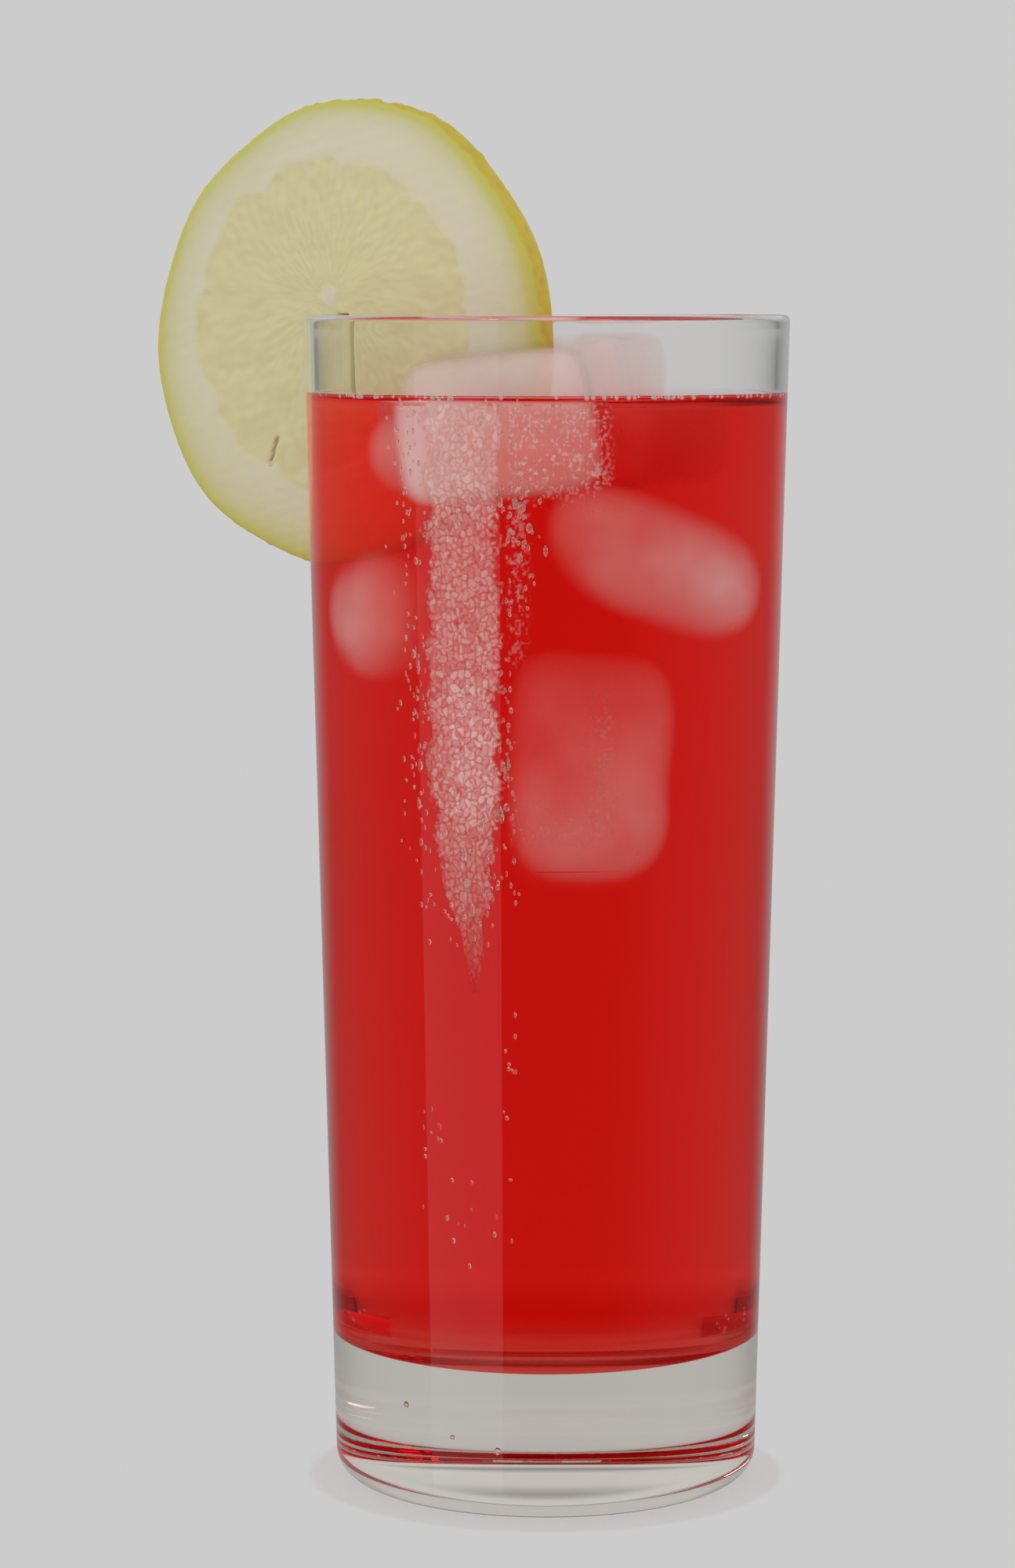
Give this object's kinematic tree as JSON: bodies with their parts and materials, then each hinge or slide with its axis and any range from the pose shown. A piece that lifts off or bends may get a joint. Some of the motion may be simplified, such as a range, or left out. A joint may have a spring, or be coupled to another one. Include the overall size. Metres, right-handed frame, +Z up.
{
  "type": "glass of fruit punch",
  "caption": "Tall straight tumbler with a thick clear base, filled with iced red fruit punch, with a lemon slice hung on the rim.",
  "frame": {"origin": "centre of the glass's foot ring, on the table", "axes": "+Z up along the glass's axis, -Y towards the drinker, +X to the right; the lemon slice hangs at the back left"},
  "size_m": [0.0868, 0.0688, 0.1858],
  "materials": {
    "glass": "clear pressed soda-lime glass, fire-polished rim, damp outside",
    "punch": "clear red liquid",
    "lemon": "wet cut lemon with a yellow peel and white pith",
    "ice": "half-melted cloudy ice"
  },
  "bodies": {
    "root": {"glass": "glass", "punch": "punch", "lemon_slice": "lemon", "ice_front": "ice", "ice_back": "ice"}
  },
  "joints": []
}
